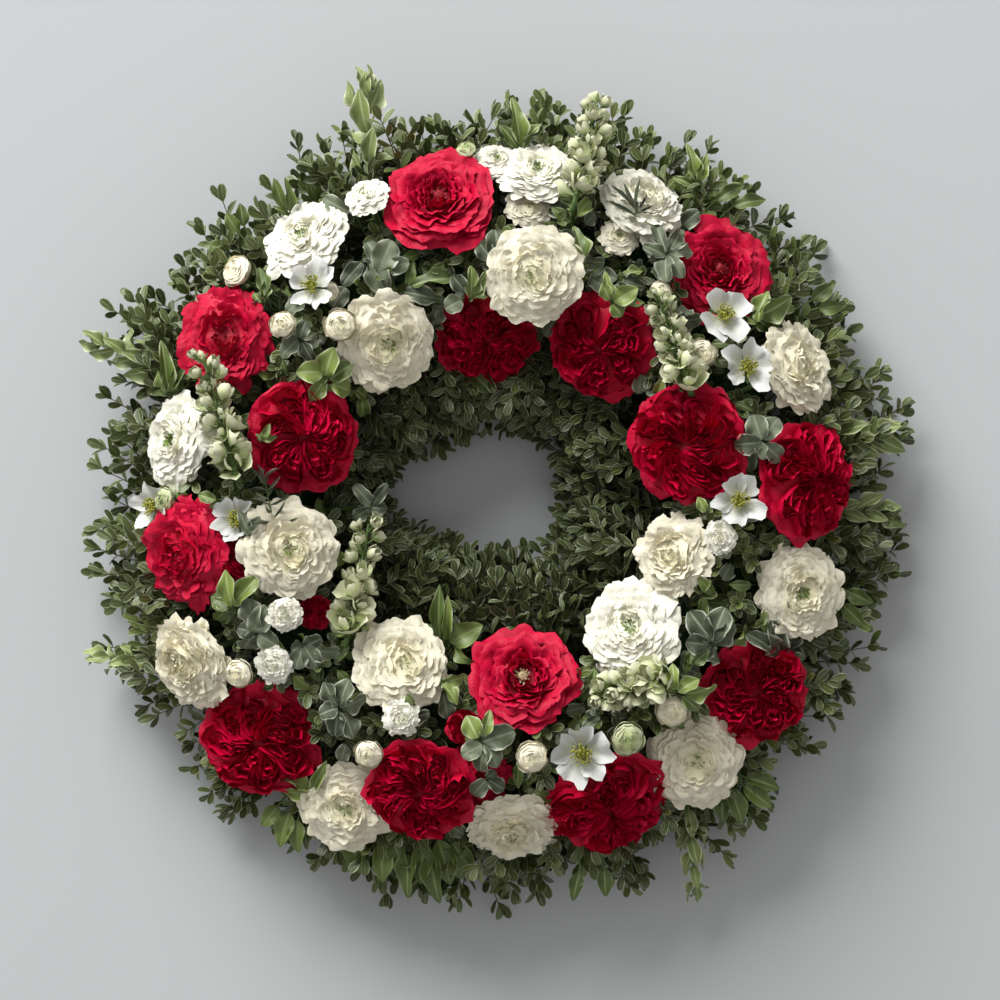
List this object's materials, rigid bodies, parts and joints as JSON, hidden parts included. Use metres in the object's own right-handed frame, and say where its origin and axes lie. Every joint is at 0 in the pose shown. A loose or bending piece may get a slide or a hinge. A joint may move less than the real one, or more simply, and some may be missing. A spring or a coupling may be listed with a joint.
{
  "type": "funeral wreath",
  "caption": "Round funeral wreath of fresh red and white blooms, small flowers and sprigs on a ring of boxwood, over floral foam in a plastic tray; lies flat on its back.",
  "frame": {"origin": "middle of the outline seen from above, on the surface that the tray's underside rests on", "axes": "+Z out of the wreath's face, up as it lies on its back; +Y towards its top when it hangs; +X to its right seen from the front"},
  "size_m": [0.552, 0.5716, 0.1228],
  "materials": {
    "red_petals": "fresh petals, deep crimson, soft satin",
    "white_petals": "fresh petals, ivory to cream, soft matte",
    "cup_petals": "fresh petals, white, with a yellow-green eye",
    "florets": "small florets and buds, pale cream-green",
    "sprig_leaves": "fresh leaves, lime to mid green, some grey-green, satin",
    "boxwood": "small leathery leaves, dark green, satin, with paler edges",
    "floral_foam": "wet floral foam, dark green, fine-pored, dull",
    "tray_plastic": "moulded plastic, dark green, semi-gloss"
  },
  "bodies": {
    "root": {"red_bloom_01": "red_petals", "red_bloom_02": "red_petals", "red_bloom_03": "red_petals", "red_bloom_04": "red_petals", "red_bloom_05": "red_petals", "red_bloom_06": "red_petals", "red_bloom_07": "red_petals", "red_bloom_08": "red_petals", "red_bloom_09": "red_petals", "red_bloom_10": "red_petals", "red_bloom_11": "red_petals", "red_bloom_12": "red_petals", "red_bloom_13": "red_petals", "red_bloom_14": "red_petals", "red_bloom_15": "red_petals", "white_bloom_01": "white_petals", "white_bloom_02": "white_petals", "white_bloom_03": "white_petals", "white_bloom_04": "white_petals", "white_bloom_05": "white_petals", "white_bloom_06": "white_petals", "white_bloom_07": "white_petals", "white_bloom_08": "white_petals", "white_bloom_09": "white_petals", "white_bloom_10": "white_petals", "white_bloom_11": "white_petals", "white_bloom_12": "white_petals", "white_bloom_13": "white_petals", "white_bloom_14": "white_petals", "white_bloom_15": "white_petals", "white_bloom_16": "white_petals", "white_bloom_17": "white_petals", "cup_flower_1": "cup_petals", "cup_flower_2": "cup_petals", "cup_flower_3": "cup_petals", "cup_flower_4": "cup_petals", "cup_flower_5": "cup_petals", "flower_spike_1": "florets", "flower_spike_2": "florets", "flower_spike_3": "florets", "flower_spike_4": "florets", "flower_spike_5": "florets", "leaf_sprig_1": "sprig_leaves", "leaf_sprig_2": "sprig_leaves", "leaf_sprig_3": "sprig_leaves", "leaf_sprig_4": "sprig_leaves", "leaf_sprig_5": "sprig_leaves", "leaf_sprig_6": "sprig_leaves", "boxwood_outer_1": "boxwood", "boxwood_outer_2": "boxwood", "boxwood_outer_3": "boxwood", "boxwood_outer_4": "boxwood", "boxwood_outer_5": "boxwood", "boxwood_outer_6": "boxwood", "boxwood_inner_1": "boxwood", "boxwood_inner_2": "boxwood", "boxwood_inner_3": "boxwood", "boxwood_inner_4": "boxwood", "foam_ring": "floral_foam", "tray": "tray_plastic"}
  },
  "joints": []
}
